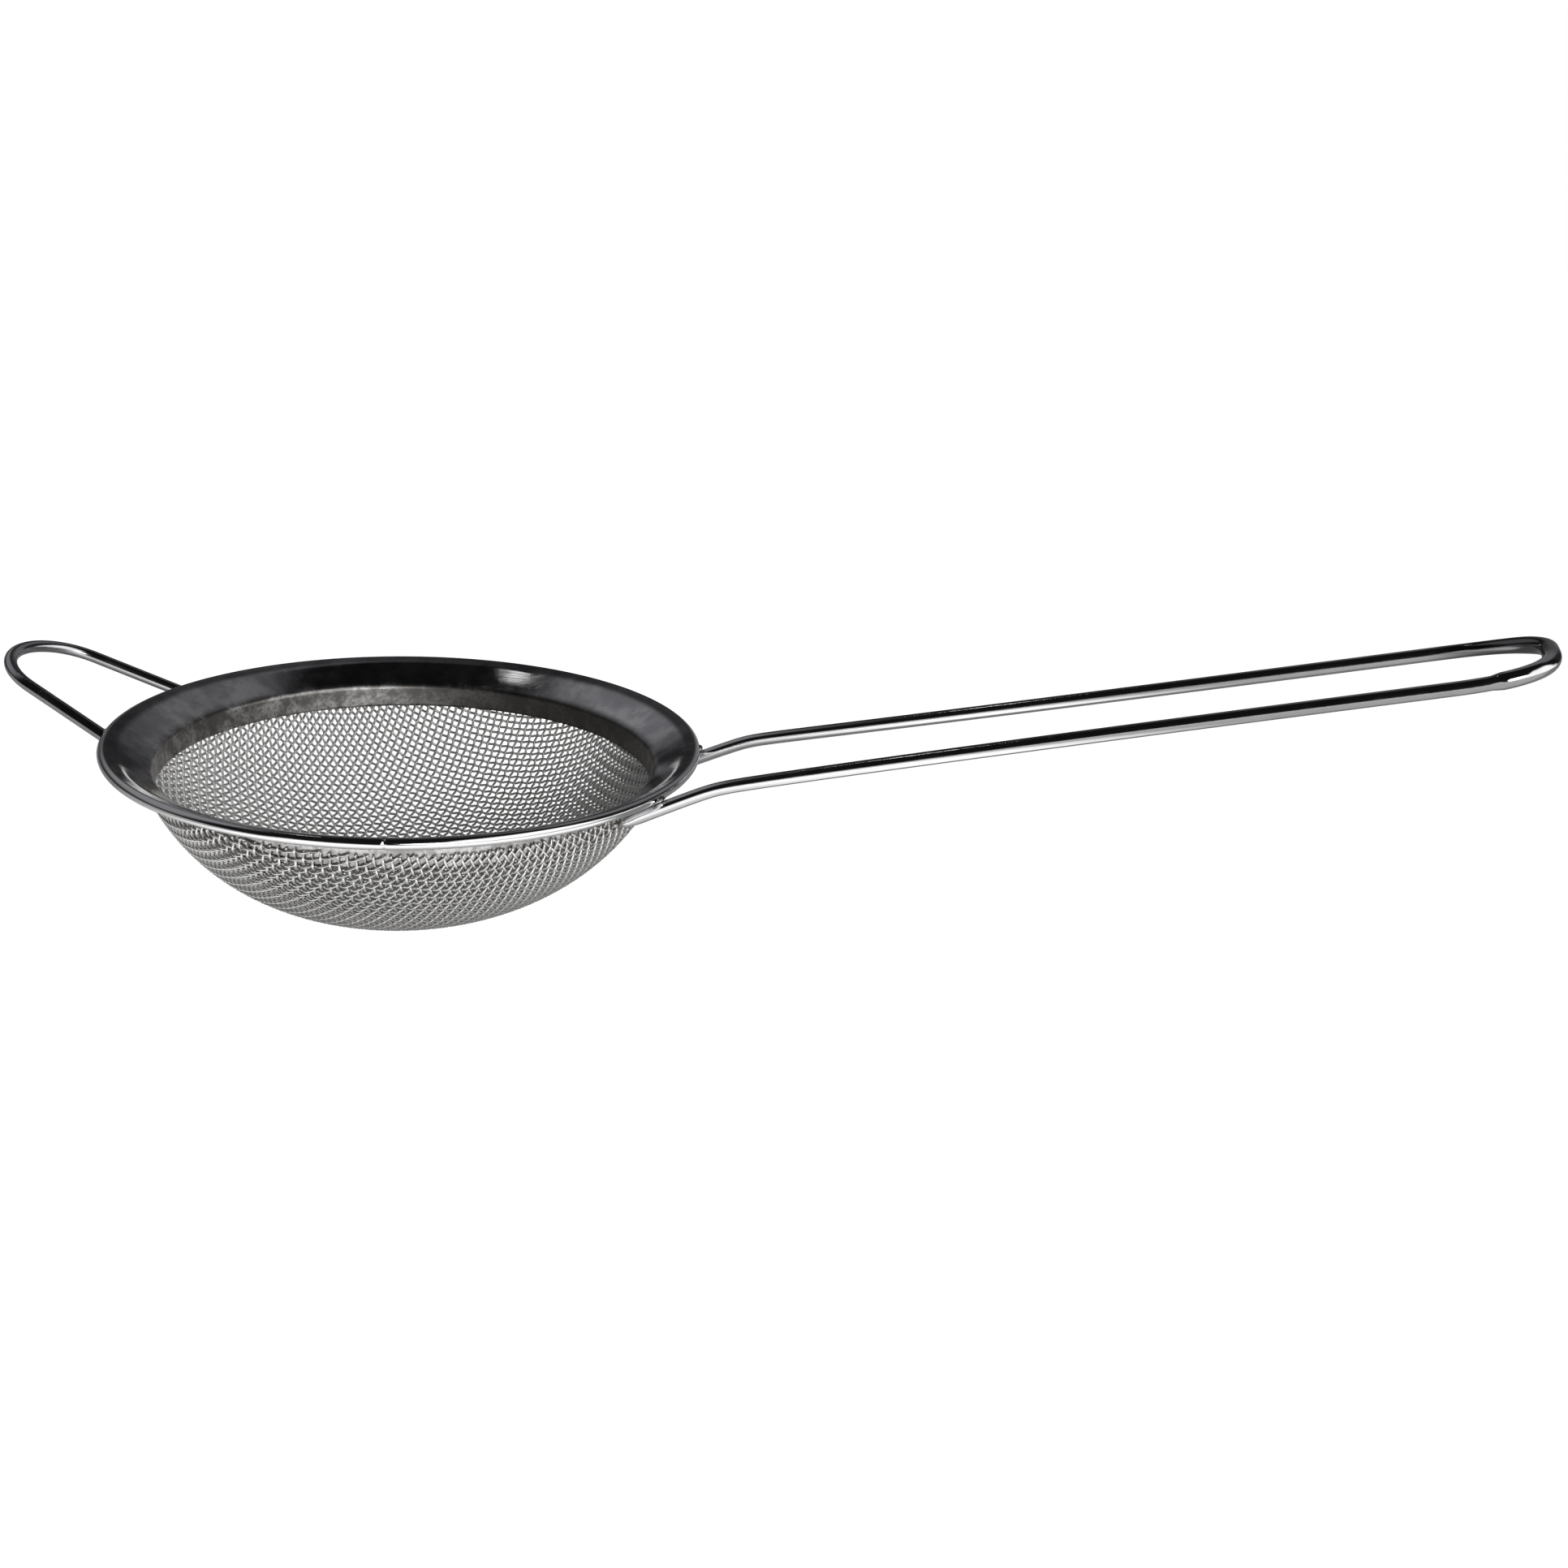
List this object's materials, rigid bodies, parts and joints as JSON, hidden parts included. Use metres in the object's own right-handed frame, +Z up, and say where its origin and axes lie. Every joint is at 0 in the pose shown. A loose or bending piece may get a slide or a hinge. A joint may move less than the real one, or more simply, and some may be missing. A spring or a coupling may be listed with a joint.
{
  "type": "tea strainer",
  "caption": "Handheld tea strainer: wire-cloth bowl under a flared rim collar, with a long bent-wire handle and a wire rest loop.",
  "frame": {"origin": "centre of the small flat at the bottom of the bowl, on the rim's axis", "axes": "+Z up through the rim, square to the rim's plane; +X out along the handle; the rest loop is at -X"},
  "size_m": [0.2291, 0.09, 0.0608],
  "materials": {
    "collar_steel": "bright pressed stainless steel",
    "mesh_steel": "plain woven stainless steel wire cloth",
    "wire_steel": "polished stainless steel wire",
    "weld_steel": "dull weld metal"
  },
  "bodies": {
    "root": {"rim_collar": "collar_steel", "mesh_bowl": "mesh_steel", "handle_wire": "wire_steel", "rest_loop_wire": "wire_steel", "handle_weld_near": "weld_steel", "handle_weld_far": "weld_steel", "handle_tip_weld_near": "weld_steel", "handle_tip_weld_far": "weld_steel", "rest_loop_weld_near": "weld_steel", "rest_loop_weld_far": "weld_steel"}
  },
  "joints": []
}
